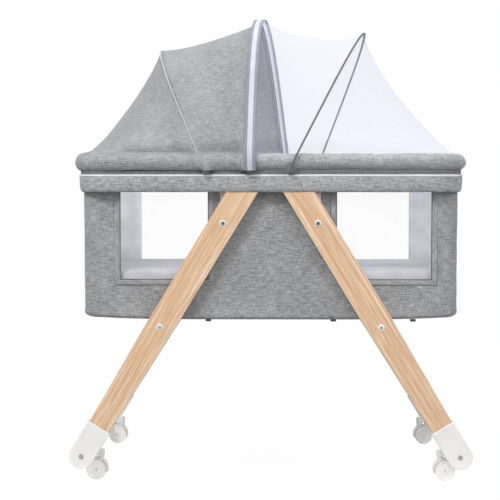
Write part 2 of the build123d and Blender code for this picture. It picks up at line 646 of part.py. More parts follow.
with BuildPart() as canopy_ribbon:
    grid = []
    for dx in (-ribbon_w / 2, ribbon_w / 2):
        foot = (mid_foot[0] + dx, mid_foot[1] + dx, mid_foot[2] + dx, mid_foot[3])
        grid.append([Vector(*arch(foot, t, lift + cloth_t + ribbon_lift)) for t in shares])
    add(cloth_solid(grid, ribbon_t, shares))
save(canopy_ribbon, "canopy_ribbon")
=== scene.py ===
import math

import bmesh
import bpy
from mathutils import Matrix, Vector, noise


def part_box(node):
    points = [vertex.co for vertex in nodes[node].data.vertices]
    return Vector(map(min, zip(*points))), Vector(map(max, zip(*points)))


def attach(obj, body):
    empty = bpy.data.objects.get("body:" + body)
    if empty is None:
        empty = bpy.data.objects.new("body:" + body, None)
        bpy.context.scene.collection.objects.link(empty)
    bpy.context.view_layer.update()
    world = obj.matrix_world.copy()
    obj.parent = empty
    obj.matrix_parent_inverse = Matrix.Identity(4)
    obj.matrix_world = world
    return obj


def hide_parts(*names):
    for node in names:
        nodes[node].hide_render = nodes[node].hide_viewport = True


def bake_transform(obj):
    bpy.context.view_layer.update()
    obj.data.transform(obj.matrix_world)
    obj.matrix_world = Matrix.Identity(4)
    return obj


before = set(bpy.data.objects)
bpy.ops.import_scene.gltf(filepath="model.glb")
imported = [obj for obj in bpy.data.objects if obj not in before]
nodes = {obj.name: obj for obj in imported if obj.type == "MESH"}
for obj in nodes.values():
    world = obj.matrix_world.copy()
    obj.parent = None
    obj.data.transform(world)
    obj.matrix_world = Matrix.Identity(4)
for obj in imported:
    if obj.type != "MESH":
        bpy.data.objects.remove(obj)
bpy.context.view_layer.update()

# ------------------------------------------------------------------ sizes in metres, as in the CAD part
# X runs along the bassinet with the hood towards -X, Y runs to the rear, and Z up from the floor.
RAIL = (0.4265, 0.260, 0.7315)            # half length, half width and height of the rail line
RAIL_CORNER = 0.060
ROLL_R, ROLL_SIDES = 0.020, 36            # the padded roll, and the number of flats round it
WALL = (0.429, 0.2397, 0.373)             # outside half sizes and floor height of the basket
WALL_CORNER, WALL_TOP, WALL_T = 0.040, 0.7125, 0.0034
DENT_TOP = 0.71                           # the wall cloth is flat from here up
FLOOR_BEND = 0.010                        # radius where the basket's floor turns up into its wall
CORNER_RISE = 0.008                       # the bottom of the cloth hangs lower between its corners
WINDOWS = {-1: (0.1420, 0.3410), 1: (0.1505, 0.3645)}    # edges from the middle, left and right
WIN_Z = (0.466, 0.680)
PANE_SET_BACK, PANE_DIP = 0.0022, 0.003   # the mesh lies behind the wall's face and is drawn in at its middle
SKIRT = (0.4375, 0.2725)                  # half sizes of the skirt's line
SKIRT_TOP = 0.6984                        # above this the skirt takes a darker linen: painted shade of the recess under the roll
PIPING_R, PIPING_Z = 0.0028, 0.7010
HEM_Z, HEM_ANGLE, WRAP_GAP = 0.711, -60.0, 0.0015
HOOP_HALF_Y, HOOP_LIFT = 0.2875, 0.0035   # the cloth passes a hoop's line at this lift
BOW_RISE, BOW_TURN = 1.24, 1.3333         # how upright the feet of a hoop stand
HOOD = (-0.1426, -0.0593, -0.2595, 1.0015)   # front foot x, rear foot x, apex x, apex z
MID = (-0.0480, 0.0363, -0.0259, 1.0740)
NET = (0.0417, 0.1176, 0.2264, 1.0435)
END_START = 0.330                         # where the hem starts its way round the ends
ZIP_HALF = 0.0045                         # the zip joins the two halves of the canopy
PIVOT, FOOT = (0.1069, 0.5937), (0.430, 0.0636)
LEAN = math.atan2(FOOT[0] - PIVOT[0], PIVOT[1] - FOOT[1])

# ------------------------------------------------------------------ how the cloth lies
CREASE_ANGLE, HUG_TOP = 80.0, 0.800       # between its hoops the canopy lies against the roll from here down
HUG_X, HUG_FADE = 0.345, 0.03             # and does so up to this far from the middle
NET_HEM_TOP = 0.752                       # below this the net is one layer drawn tight over the roll
LAND = {-1: 90.0, 1: 35.0}                # where the canopy ends land on the roll, hood and net
LAND_LEAST, LAND_FADE = 0.02, 0.1         # next to the hoops they land almost at the hem
CROWN_DIP = 0.004                         # the crown lies a little lower between two hoops
CROWN_SLACK = {"hood": (0.0098, 0.45), "net": (0.0215, 1.3)}     # depth, and a power that shifts it
END_SLACK = {"hood": 0.011, "net": 0.0225}
RIPPLE = {"hood": 0.0022, "net": 0.0007}
BEND_REACH = {"crown": 0.16, "end": 0.11}                # distance from its hoop, handed to bend()
HOOD_T, SKIRT_T = 0.0009, 0.0012
ROLL_CLEAR = 0.0016                       # the canopy's ends stay this far off the roll
STRIP_MID, STRIP_HALF = 0.1009, 0.0130    # the leg brackets reach up inside the roll here
STRIP_FADE = (0.002, 0.016)               # margin beside a bracket, and where its bulge ends beyond that
STRIP_COVER = (0.0212, 0.0118, 0.0215)    # how far in, up and down from the rail line it bulges
COLS = 145                                # points along a hoop, closer together at its feet


# ------------------------------------------------------------------ small helpers
def new_object(name, mesh):
    obj = bpy.data.objects.new(name, mesh)
    bpy.context.scene.collection.objects.link(obj)
    return obj


def object_from(name, bm):
    mesh = bpy.data.meshes.new(name)
    bm.to_mesh(mesh)
    bm.free()
    return new_object(name, mesh)


def grid_object(name, rows, uvs=None, skip=None, loop=False):
    """A mesh from rows of points; uvs holds one (u, v) for each point; skip(i, j) leaves a face out."""
    bm = bmesh.new()
    layer = bm.loops.layers.uv.new("UVMap")
    grid = [[bm.verts.new(p) for p in row] for row in rows]
    n = len(rows[0])
    for i in range(len(rows) - 1):
        for j in range(n if loop else n - 1):
            if skip and skip(i, j):
                continue
            k = (j + 1) % n
            face = bm.faces.new((grid[i][j], grid[i][k], grid[i + 1][k], grid[i + 1][j]))
            face.smooth = True
            if uvs:
                step = (uvs[i][1][0] - uvs[i][0][0]) if k == 0 else 0
                for lp, (a, b) in zip(face.loops, ((i, j), (i, k), (i + 1, k), (i + 1, j))):
                    u, v = uvs[a][b]
                    if k == 0 and b == 0:
                        u = uvs[a][n - 1][0] + step
                    lp[layer].uv = (u, v)
    lone = [v for v in bm.verts if not v.link_faces]
    bmesh.ops.delete(bm, geom=lone, context="VERTS")
    bmesh.ops.recalc_face_normals(bm, faces=bm.faces)
    return object_from(name, bm)


def metric_uvs(rows):
    """Running lengths along the rows and across them, in metres."""
    uvs, across = [], [0.0] * len(rows[0])
    for i, row in enumerate(rows):
        along, line = 0.0, []
        for j, p in enumerate(row):
            if j:
                along += (Vector(p) - Vector(row[j - 1])).length
            if i:
                across[j] += (Vector(p) - Vector(rows[i - 1][j])).length
            line.append((along, across[j]))
        mid = line[len(line) // 2][0]
        uvs.append([(u - mid, v) for u, v in line])
    return uvs


def weld(obj, dist=1e-5):
    bm = bmesh.new()
    bm.from_mesh(obj.data)
    bmesh.ops.remove_doubles(bm, verts=bm.verts, dist=dist)
    bm.to_mesh(obj.data)
    bm.free()


def ring_cord(name, points, r, sides=12):
    """A round cord along a closed line of points."""
    n, rows, up = len(points), [], None
    for i, p in enumerate(points):
        t = (points[(i + 1) % n] - points[(i - 1) % n]).normalized()
        if up is None:
            up = t.orthogonal().normalized()
        up = (up - t * up.dot(t)).normalized()
        side = t.cross(up)
        rows.append([p + (up * math.cos(k * math.tau / sides) + side * math.sin(k * math.tau / sides)) * r
                     for k in range(sides)])
    rows.append(rows[0])
    obj = grid_object(name, rows, metric_uvs(rows), loop=True)
    weld(obj)
    return obj


def solidify(obj, **values):
    m = obj.modifiers.new("Solidify", "SOLIDIFY")
    for key, value in values.items():
        setattr(m, key, value)


def smooth(v):
    v = min(max(v, 0.0), 1.0)
    return v * v * (3 - 2 * v)


def wall_loop(hx, hy, r, step=0.012, marks=()):
    """Points (x, y, nx, ny) round a rounded rectangle, with points at the marked x on the long sides."""
    xs = sorted({-(hx - r), hx - r, *marks})
    line = []
    for a, b in zip(xs, xs[1:]):
        n = max(1, round((b - a) / step))
        line += [a + (b - a) * k / n for k in range(n)]
    line.append(xs[-1])
    ys = [-(hy - r) + 2 * (hy - r) * k / 32 for k in range(33)]
    turn = [(math.sin(a), math.cos(a)) for a in (math.pi / 2 * k / 8 for k in range(1, 8))]
    pts = [(x, -hy, 0, -1) for x in line]
    pts += [(hx - r + r * s, -(hy - r) - r * c, s, -c) for s, c in turn]
    pts += [(hx, y, 1, 0) for y in ys]
    pts += [(hx - r + r * c, hy - r + r * s, c, s) for s, c in turn]
    pts += [(x, hy, 0, 1) for x in reversed(line)]
    pts += [(-(hx - r) - r * s, hy - r + r * c, -s, c) for s, c in turn]
    pts += [(-hx, y, -1, 0) for y in reversed(ys)]
    pts += [(-(hx - r) - r * c, -(hy - r) - r * s, -c, -s) for s, c in turn]
    return pts


def beside(spot, off, z):
    """Point off metres outside a spot of a wall loop, at height z."""
    x, y, nx, ny = spot
    return Vector((x + nx * off, y + ny * off, z))


def lengths_along(spots):
    run = [0.0]
    for a, b in zip(spots, spots[1:]):
        run.append(run[-1] + math.hypot(b[0] - a[0], b[1] - a[1]))
    return run


# ------------------------------------------------------------------ canopy lines
def bow_height(s):
    """Rise of a hoop, from 0 to 1, where s runs from 0 at a foot to 1 at the top."""
    return s * s + BOW_RISE * s ** BOW_TURN * (1 - s) ** 4


def arch(foot, t, out=0.0, sag=0.0):
    """Point at share t of a hoop line, out metres outside it; sag lowers the crown."""
    xf, xr, ax, az = foot
    mid, half_x, rise = (xf + xr) / 2, (xr - xf) / 2, az - HEM_Z

    def on(u):
        u = min(max(u, 0.0), 1.0)
        y, h = -math.cos(math.pi * u), bow_height(max(math.sin(math.pi * u), 0.0)) * (1 - sag / rise)
        return Vector((mid + half_x * y + (ax - mid) * h, HOOP_HALF_Y * y, HEM_Z + rise * h))

    p = on(t)
    flat = Vector((half_x, HOOP_HALF_Y, 0)).cross(Vector((ax - mid, 0, rise)))
    n = (on(t + 0.002) - on(t - 0.002)).cross(flat).normalized()
    if n.dot(p - Vector((mid, 0, HEM_Z - 0.3))) < 0:
        n = -n
    return p + n * out


def end_loop(side, x0, t, off):
    """Point at share t of the way round one end of the rail line, off metres outside it."""
    hx, hy, r = RAIL[0] + off, RAIL[1] + off, RAIL_CORNER + off
    run, arc, across = hx - r - x0, math.pi * r / 2, 2 * (hy - r)
    s, flip = t * (2 * run + 2 * arc + across), -1.0
    if s > run + arc + across / 2:
        s, flip = 2 * run + 2 * arc + across - s, 1.0
    if s < run:
        x, y = x0 + s, hy
    elif s < run + arc:
        a = (s - run) / r
        x, y = hx - r + r * math.sin(a), hy - r + r * math.cos(a)
    else:
        x, y = hx, hy - r - (s - run - arc)
    return side * x, flip * y


def clear_of_roll(p, gap):
    """The point itself, or where it is too near the roll, the nearest one at the gap."""
    cx, cy = RAIL[0] - RAIL_CORNER, RAIL[1] - RAIL_CORNER
    ax, ay = abs(p.x), abs(p.y)
    if ax > cx and ay > cy:
        d = math.hypot(ax - cx, ay - cy) or 1.0
        px, py = cx + (ax - cx) * RAIL_CORNER / d, cy + (ay - cy) * RAIL_CORNER / d
    elif RAIL[0] - ax < RAIL[1] - ay:
        px, py = RAIL[0], ay
    else:
        px, py = ax, RAIL[1]
    near = Vector((math.copysign(px, p.x), math.copysign(py, p.y), RAIL[2]))
    d = p - near
    if d.length >= ROLL_R + gap:
        return p
    return near + d.normalized() * (ROLL_R + gap)


def on_wrap(degrees):
    """Distance out from the rail line and height of the cloth wrapped round the roll."""
    r, a = ROLL_R + WRAP_GAP, math.radians(degrees)
    return r * math.cos(a), RAIL[2] + r * math.sin(a)


def hug(p, weight):
    """Pulls a point of the canopy's long sides in against the roll by weight, from HUG_TOP down."""
    sign = -1 if p.y < 0 else 1
    weight *= smooth((HUG_X - abs(p.x)) / HUG_FADE)
    if p.z > HUG_TOP or weight <= 0:
        return p
    crease_out, crease_z = on_wrap(CREASE_ANGLE)
    crease_y = RAIL[1] + crease_out
    if p.z > crease_z:
        y, z = crease_y + (abs(p.y) - crease_y) * smooth((p.z - crease_z) / (HUG_TOP - crease_z)), p.z
    else:
        a = HEM_ANGLE + (CREASE_ANGLE - HEM_ANGLE) * (p.z - HEM_Z) / (crease_z - HEM_Z)
        out, z = on_wrap(max(a, HEM_ANGLE))
        y, z = RAIL[1] + out, max(z, on_wrap(HEM_ANGLE)[1])
    return Vector((p.x, p.y + (sign * y - p.y) * weight, p.z + (z - p.z) * weight))


def hugged(rows, weight_at):
    """weight_at gives the pull for each share of the way through the rows; none ends below the hem."""
    last = len(rows) - 1
    low = on_wrap(HEM_ANGLE)[1]
    out = [[hug(p, weight_at(i / last)) for p in row] for i, row in enumerate(rows)]
    return [[Vector((p.x, p.y, max(p.z, low))) for p in row] for row in out]


SHARES = [0.5 - 0.5 * math.cos(math.pi * (0.06 + 0.88 * j / (COLS - 1))) for j in range(COLS)]
SHARES = [(t - SHARES[0]) / (SHARES[-1] - SHARES[0]) for t in SHARES]


def wrap_point(side, t, share):
    """Point on the cloth round the roll, from where it lands (share 0) to its hem (share 1)."""
    high = LAND_LEAST + (1 - LAND_LEAST) * smooth(min(t, 1 - t) / LAND_FADE)
    land = HEM_ANGLE + (LAND[side] - HEM_ANGLE) * high
    out, z = on_wrap(land + (HEM_ANGLE - land) * share)
    x, y = end_loop(side, END_START, t, out)
    return Vector((x, y, z))


def crown_rows(side, foot, slack, steps=20):
    """Rows from the zip to a hoop; slack holds how deep the cloth hangs, and a power that shifts it."""
    rows = []
    inner = (MID[0] + side * ZIP_HALF, MID[1] + side * ZIP_HALF, MID[2] + side * ZIP_HALF, MID[3])
    for i in range(steps + 1):
        u = i / steps
        f = [inner[k] * (1 - u) + foot[k] * u for k in range(4)]
        bow = slack[0] * (1 - (2 * u ** slack[1] - 1) ** 4)
        dip = CROWN_DIP * math.sin(math.pi * u)
        rows.append([arch(f, t, HOOP_LIFT - dip * math.sin(math.pi * t) ** 0.5, bow) for t in SHARES])
    return rows


def hood_sag(w):
    """How deep the hood's end hangs at share w of its way from the hoop to the roll."""
    return END_SLACK["hood"] * math.sin(math.pi * (w / 0.86) ** 0.8) if w < 0.86 else 0.0


def net_sag(w):
    return END_SLACK["net"] * math.sin(math.pi * w ** 0.70)


def end_rows(side, foot, sag_at, steps=26, wrap_steps=12):
    """Rows from a hoop down to the roll and round it to the hem."""
    top, rows = [arch(foot, t, HOOP_LIFT) for t in SHARES], []
    for i in range(steps + 1):
        w, row = i / steps, []
        for t, a in zip(SHARES, top):
            chord = wrap_point(side, t, 0.0) - a
            inward = Vector((chord.z, 0, -chord.x))
            inward = inward.normalized() if inward.length > 1e-6 else Vector((0, 0, 0))
            if inward.z > 0:
                inward = -inward
            p = a + chord * w + inward * sag_at(w) * math.sin(math.pi * t) ** 1.6
            row.append(clear_of_roll(p, ROLL_CLEAR))
        rows.append(row)
    for k in range(1, wrap_steps + 1):
        rows.append([wrap_point(side, t, k / wrap_steps) for t in SHARES])
    return rows


def ripple(rows, size, amount, seed, edge=0.12):
    """Soft folds: moves points along their normal, fading out at the edges of the panel."""
    out, n, m = [], len(rows), len(rows[0])
    for i, row in enumerate(rows):
        line = []
        for j, p in enumerate(row):
            du = rows[min(i + 1, n - 1)][j] - rows[max(i - 1, 0)][j]
            dv = row[min(j + 1, m - 1)] - row[max(j - 1, 0)]
            nrm = du.cross(dv)
            nrm = nrm.normalized() if nrm.length > 1e-12 else Vector((0, 0, 1))
            fade = smooth(min(i, n - 1 - i) / (n * edge)) * smooth(min(j, m - 1 - j) / (m * 0.05))
            q = Vector((p.x * size[0], p.y * size[1], p.z * size[2] + seed * 7.3))
            line.append(p + nrm * (noise.noise(q) + 0.5 * noise.noise(q * 2.1)) * amount * fade)
        out.append(line)
    return out


# ------------------------------------------------------------------ material helpers
def material(name):
    mat = bpy.data.materials.new(name)
    mat.use_nodes = True
    nt = mat.node_tree
    nt.nodes.clear()
    out = nt.nodes.new("ShaderNodeOutputMaterial")
    bsdf = nt.nodes.new("ShaderNodeBsdfPrincipled")
    nt.links.new(bsdf.outputs[0], out.inputs[0])
    return mat, nt, bsdf


def show(nt, shader):
    """Makes the shader the material's surface."""
    out = next(n for n in nt.nodes if n.type == "OUTPUT_MATERIAL")
    nt.links.new(shader.outputs[0], out.inputs[0])


def node(nt, kind, **values):
    """A new node; each value goes to its input of that name, or else to its property."""
    n = nt.nodes.new(kind)
    for key, value in values.items():
        if key in n.inputs:
            n.inputs[key].default_value = value
        else:
            setattr(n, key, value)
    return n


def set_surface(bsdf, rough, specular=None, metallic=None):
    for key, value in (("Roughness", rough), ("Specular IOR Level", specular), ("Metallic", metallic)):
        if value is not None:
            bsdf.inputs[key].default_value = value


def mix_shader(nt, share, first, second):
    """The first shader with a share of the second; share is a number or a socket."""
    mix = nt.nodes.new("ShaderNodeMixShader")
    if isinstance(share, float):
        mix.inputs[0].default_value = share
    else:
        nt.links.new(share, mix.inputs[0])
    nt.links.new(first.outputs[0], mix.inputs[1])
    nt.links.new(second.outputs[0], mix.inputs[2])
    return mix


def mapping(nt, vector, scale, turn=(0, 0, 0)):
    mp = nt.nodes.new("ShaderNodeMapping")
    mp.inputs["Scale"].default_value = scale
    mp.inputs["Rotation"].default_value = turn
    nt.links.new(vector, mp.inputs["Vector"])
    return mp.outputs["Vector"]


def coords(nt, space="Object", scale=(1, 1, 1), turn=(0, 0, 0)):
    tc = nt.nodes.new("ShaderNodeTexCoord")
    return mapping(nt, tc.outputs[space], scale, turn)


def noise_tex(nt, vector, detail=3.0, rough=0.55):
    n = node(nt, "ShaderNodeTexNoise", Scale=1.0, Detail=detail, Roughness=rough)
    nt.links.new(vector, n.inputs["Vector"])
    return n.outputs["Fac"]


def math_node(nt, op, a, b=None, clamp=False):
    m = nt.nodes.new("ShaderNodeMath")
    m.operation, m.use_clamp = op, clamp
    for i, v in enumerate((a, b)):
        if v is None:
            continue
        if isinstance(v, (int, float)):
            m.inputs[i].default_value = v
        else:
            nt.links.new(v, m.inputs[i])
    return m.outputs[0]


def weighted(nt, *parts):
    """Sum of sockets, each times its weight."""
    total = None
    for value, weight in parts:
        part = math_node(nt, "MULTIPLY", value, weight)
        total = part if total is None else math_node(nt, "ADD", total, part)
    return total


def axis_of(nt, vector, axis):
    split = nt.nodes.new("ShaderNodeSeparateXYZ")
    nt.links.new(vector, split.inputs[0])
    return split.outputs[axis]


def ramp(nt, fac, stops):
    r = nt.nodes.new("ShaderNodeValToRGB")
    el = r.color_ramp.elements
    while len(el) < len(stops):
        el.new(0.5)
    for e, (pos, col) in zip(el, stops):
        e.position, e.color = pos, (*col, 1)
    nt.links.new(fac, r.inputs["Fac"])
    return r.outputs["Color"]


def bump(nt, height, strength, distance, bsdf):
    b = node(nt, "ShaderNodeBump", Strength=strength, Distance=distance)
    nt.links.new(height, b.inputs["Height"])
    nt.links.new(b.outputs["Normal"], bsdf.inputs["Normal"])


def srgb(r, g, b):
    def lin(c):
        c /= 255
        return c / 12.92 if c <= 0.04045 else ((c + 0.055) / 1.055) ** 2.4
    return (lin(r), lin(g), lin(b))


def colour_by(nt, bsdf, fac, stops):
    """Colours the surface by a texture; stops hold its levels and their colours."""
    nt.links.new(ramp(nt, fac, stops), bsdf.inputs["Base Color"])


def shade_by(nt, bsdf, fac, colour, dark, light_at=0.65):
    """Colours the surface by a texture, from dark times the colour to the colour itself."""
    low = srgb(*(c * dark for c in colour))
    colour_by(nt, bsdf, fac, [(0.35, low), (light_at, srgb(*colour))])


def seen_plainly(nt):
    """1 where the camera looks at something directly, through the net or in a reflection."""
    path = nt.nodes.new("ShaderNodeLightPath")
    through = math_node(nt, "MAXIMUM", path.outputs["Is Transmission Ray"], path.outputs["Is Glossy Ray"])
    return math_node(nt, "MAXIMUM", path.outputs["Is Camera Ray"], through)


# ------------------------------------------------------------------ materials
# Colours are sRGB levels, and the scales of textures are cycles in a metre.
THREADS = 330
CLOTH_LIGHT = (222, 222, 230)             # the light that comes through the hood
NET_THREAD = 0.35                         # share of a net's cell that is thread


def let_light_in(nt, bsdf, colour, share, backed=None):
    """Mixes in a share of light from behind, which rises from none between the two heights of backed."""
    glow = node(nt, "ShaderNodeBsdfTranslucent", Color=(*srgb(*colour), 1))
    if backed:
        low, high = backed
        above = math_node(nt, "SUBTRACT", axis_of(nt, coords(nt), 2), low)
        rise = math_node(nt, "MULTIPLY", above, 1 / (high - low), True)
        share = math_node(nt, "MULTIPLY", rise, share)
    show(nt, mix_shader(nt, share, bsdf, glow))


def linen(name, dark, mid, light, thin=0.0, backed=None):
    """Heathered grey linen: slubs along both threads over a fine plain weave; thin lets light in."""
    mat, nt, bsdf = material(name)
    weft = noise_tex(nt, coords(nt, "UV", (50, 400, 400)), 4.0, 0.7)
    warp = noise_tex(nt, coords(nt, "UV", (520, 70, 70)), 4.0, 0.65)
    cloud = noise_tex(nt, coords(nt, "UV", (14, 14, 14)), 3.0, 0.5)
    slubs = weighted(nt, (weft, 0.53), (warp, 0.37), (cloud, 0.10))
    colour_by(nt, bsdf, slubs, [(0.37, srgb(*dark)), (0.5, srgb(*mid)), (0.63, srgb(*light))])
    threads = []
    for way in "XY":
        wave = node(nt, "ShaderNodeTexWave", bands_direction=way, Scale=1.0, Distortion=1.5)
        nt.links.new(coords(nt, "UV", (THREADS, THREADS, THREADS)), wave.inputs["Vector"])
        threads.append(wave.outputs["Fac"])
    bump(nt, math_node(nt, "ADD", math_node(nt, "MAXIMUM", *threads), slubs), 0.35, 0.0006, bsdf)
    set_surface(bsdf, 0.92, 0.2)
    bsdf.inputs["Sheen Weight"].default_value = 0.15
    bsdf.inputs["Sheen Roughness"].default_value = 0.6
    if thin:
        let_light_in(nt, bsdf, CLOTH_LIGHT, thin, backed)
    return mat


def cloth_plain(name, colour, weave=900, thin=0.0):
    """Plain cloth or thread with a fine grain."""
    mat, nt, bsdf = material(name)
    fine = noise_tex(nt, coords(nt, "UV", (weave, weave * 0.4, weave)), 2.0)
    broad = noise_tex(nt, coords(nt, "UV", (22, 22, 22)))
    both = weighted(nt, (fine, 0.6), (broad, 0.4))
    shade_by(nt, bsdf, both, colour, 0.86, 0.6)
    bump(nt, both, 0.3, 0.0003, bsdf)
    set_surface(bsdf, 0.85, 0.25)
    if thin:
        let_light_in(nt, bsdf, colour, thin)
    return mat


def sheer(name, colour, cover, cell, weight, tint=(1.0, 1.0, 1.0)):
    """A fine open net: threads of a square cell over clear gaps, softened to a veil."""
    mat, nt, bsdf = material(name)
    cells = coords(nt, "UV", (1 / cell, 1 / cell, 1))
    lines = []
    for axis in (0, 1):
        place = math_node(nt, "SUBTRACT", math_node(nt, "FRACT", axis_of(nt, cells, axis)), 0.5)
        lines.append(math_node(nt, "GREATER_THAN", math_node(nt, "ABSOLUTE", place), 0.5 - NET_THREAD / 2))
    threads = math_node(nt, "MULTIPLY", math_node(nt, "MAXIMUM", *lines), weight)
    cloud = math_node(nt, "MULTIPLY", noise_tex(nt, coords(nt, "UV", (9, 9, 9)), 2.0), 0.1)
    alpha = math_node(nt, "ADD", threads, math_node(nt, "ADD", cover - 0.14, cloud), True)
    clear = node(nt, "ShaderNodeBsdfTransparent", Color=(*tint, 1))
    thin = node(nt, "ShaderNodeBsdfTranslucent", Color=(*srgb(*colour), 1))
    bsdf.inputs["Base Color"].default_value = (*srgb(*colour), 1)
    set_surface(bsdf, 0.8, 0.2)
    show(nt, mix_shader(nt, alpha, clear, mix_shader(nt, 0.4, bsdf, thin)))
    return mat


WOOD_TONES = [(0.36, srgb(190, 138, 102)), (0.42, srgb(232, 202, 168)), (0.46, srgb(203, 154, 116)),
              (0.50, srgb(240, 216, 184)), (0.54, srgb(198, 148, 114)), (0.58, srgb(246, 228, 202)),
              (0.63, srgb(208, 160, 132)), (0.70, srgb(232, 206, 176))]


def wood(name, angle):
    """Straight-grained pale wood; the grain runs along the leg, which leans by angle."""
    mat, nt, bsdf = material(name)
    along = coords(nt, "Object", (1, 1, 1), (0, angle, 0))
    grain = noise_tex(nt, mapping(nt, along, (120, 60, 1.0)), 4.0)
    pores = noise_tex(nt, mapping(nt, along, (900, 500, 12)), 3.0, 0.6)
    colour_by(nt, bsdf, weighted(nt, (grain, 0.82), (pores, 0.18)), WOOD_TONES)
    bump(nt, pores, 0.12, 0.0003, bsdf)
    set_surface(bsdf, 0.5, 0.35)
    return mat


def plastic(name, colour, rough=0.42, grain=1400):
    """Moulded plastic or paint, a little cloudy, with a fine grain in its gloss."""
    mat, nt, bsdf = material(name)
    cloud = noise_tex(nt, coords(nt, "Object", (18, 18, 18)))
    shade_by(nt, bsdf, cloud, colour, 0.965)
    bump(nt, noise_tex(nt, coords(nt, "Object", (grain, grain, grain)), 2.0), 0.08, 0.0002, bsdf)
    set_surface(bsdf, rough)
    return mat


def metal(name, colour, rough, metallic):
    """Drawn or turned metal with fine streaks."""
    mat, nt, bsdf = material(name)
    streak = noise_tex(nt, coords(nt, "Object", (60, 900, 60)))
    shade_by(nt, bsdf, streak, colour, 0.88)
    bump(nt, streak, 0.06, 0.0002, bsdf)
    set_surface(bsdf, rough, metallic=metallic)
    return mat


LINEN = linen("linen", (108, 109, 112), (154, 155, 157), (196, 197, 199))
HOOD_LINEN = linen("linen_hood", (110, 111, 113), (153, 154, 155), (194, 195, 196),
                   thin=0.28, backed=(0.738, 0.752))
HOOD_SEAM = linen("linen_seam", (142, 143, 146), (168, 169, 171), (198, 199, 201))
LINEN_ROLL = linen("linen_roll", (110, 111, 114), (154, 155, 156), (196, 197, 198))
# A lighter copy of the basket's linen for the skirt: painted light, for the stronger light on the upper parts
LINEN_SKIRT_PAINTED_LIGHT = linen("linen_skirt_painted_light", (112, 113, 116), (165, 166, 168), (216, 217, 219))
# Darker linen: painted shade of the recess under the roll on the skirt's top band, and also the dark cord
# round each window's opening
LINEN_SHADE_AND_EDGE = linen("linen_shade_and_edge", (84, 85, 88), (112, 113, 115), (140, 141, 143))
THREAD = cloth_plain("thread_grey", (206, 206, 209), weave=1500)
PIPING = cloth_plain("piping_white", (238, 238, 240))
LINING = cloth_plain("lining_pale", (236, 236, 240))
RIBBON = cloth_plain("ribbon_lilac", (238, 238, 250), weave=1500, thin=0.45)
BINDING = cloth_plain("binding_grey", (160, 161, 174), weave=1500, thin=0.25)
SEAM = cloth_plain("seam_grey", (104, 106, 112), weave=1500)
NET_MAT = sheer("net_tulle", (236, 236, 250), 0.25, 0.0013, 0.07, (0.97, 0.97, 1.0))
NET_HEM = sheer("net_hem", (236, 236, 244), 0.16, 0.0016, 0.06)
MESH_MAT = sheer("window_mesh", (255, 255, 255), 0.11, 0.0022, 0.08)
CLIP = plastic("clip_grey", (104, 105, 110), 0.6)
MATTRESS = cloth_plain("mattress_cover", (192, 192, 198))
WEBBING = cloth_plain("webbing_black", (110, 110, 114))
BOARD = plastic("board_grey", (150, 148, 145), 0.7)
WOOD = {"l": wood("wood_left", -LEAN), "r": wood("wood_right", LEAN)}
WHITE = plastic("plastic_white", (239, 238, 236))
WHEEL = plastic("plastic_wheel", (255, 254, 250), 0.35)
STEEL_WHITE = plastic("powder_coat_white", (236, 236, 238), 0.35, 900)
# Dark grey for the pivot bolts: painted shade that stands for the deep hex sockets in their heads
STEEL = metal("screw_socket_shade", (112, 115, 120), 0.45, 0.6)
STEEL_PALE = metal("screw_pale", (172, 172, 174), 0.45, 0.5)
AXLE = metal("axle_bright", (222, 221, 218), 0.4, 0.2)
WIRE = metal("hoop_wire", (128, 130, 136), 0.5, 0.3)


# ------------------------------------------------------------------ the CAD parts that stay
def dress(mat, *names):
    for name in names:
        obj = nodes[name]
        obj.data.materials.clear()
        obj.data.materials.append(mat)


for tag in ("fl", "fr", "rl", "rr"):
    dress(WOOD[tag[1]], f"leg_{tag}")
    dress(WHITE, f"foot_cap_{tag}", f"caster_housing_{tag}")
    dress(AXLE, f"caster_axle_{tag}")
    dress(WHEEL, f"caster_wheels_{tag}")
    dress(STEEL_WHITE, f"leg_bracket_{tag}")
dress(WHITE, "pivot_washers", "brace_washers_left", "brace_washers_right",
      "caster_brackets_left", "caster_brackets_right")
dress(CLIP, "hoop_clips")
dress(STEEL_WHITE, "rail_tube_left", "rail_tube_right", "rail_hub_front", "rail_hub_rear", "base_frame",
      "brace_tube_left", "brace_tube_right", "foot_tube_left", "foot_tube_right")
# The pivot bolts are painted dark as the shade of the hex sockets in their heads
dress(STEEL, "pivot_bolts")
dress(STEEL_PALE, "leg_bolts_left", "leg_bolts_right")
dress(WIRE, "centre_hoop", "hood_hoop", "net_hoop")
dress(WEBBING, "base_tabs")
dress(BOARD, "base_board")


def finish_piece(obj, mat, body="basket", replaces=()):
    obj.data.materials.append(mat)
    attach(obj, body)
    if replaces:
        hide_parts(*replaces)
    return obj


# ------------------------------------------------------------------ sewn basket
def wall_dent(x, y, z, ny):
    """The cloth hangs in a little between its seams, and unevenly."""
    up = smooth((z - WALL[2]) / 0.03) * smooth((DENT_TOP - z) / 0.05)
    q = Vector((x * 7, y * 7, z * 9))
    uneven = 0.0016 * noise.noise(q) + 0.0008 * noise.noise(q * 2.7)
    return (uneven - (0.0012 if abs(ny) > 0.5 else 0.001)) * up


def levels(low, high, steps):
    """Heights above low, up to high."""
    return [low + (high - low) * k / steps for k in range(1, steps + 1)]


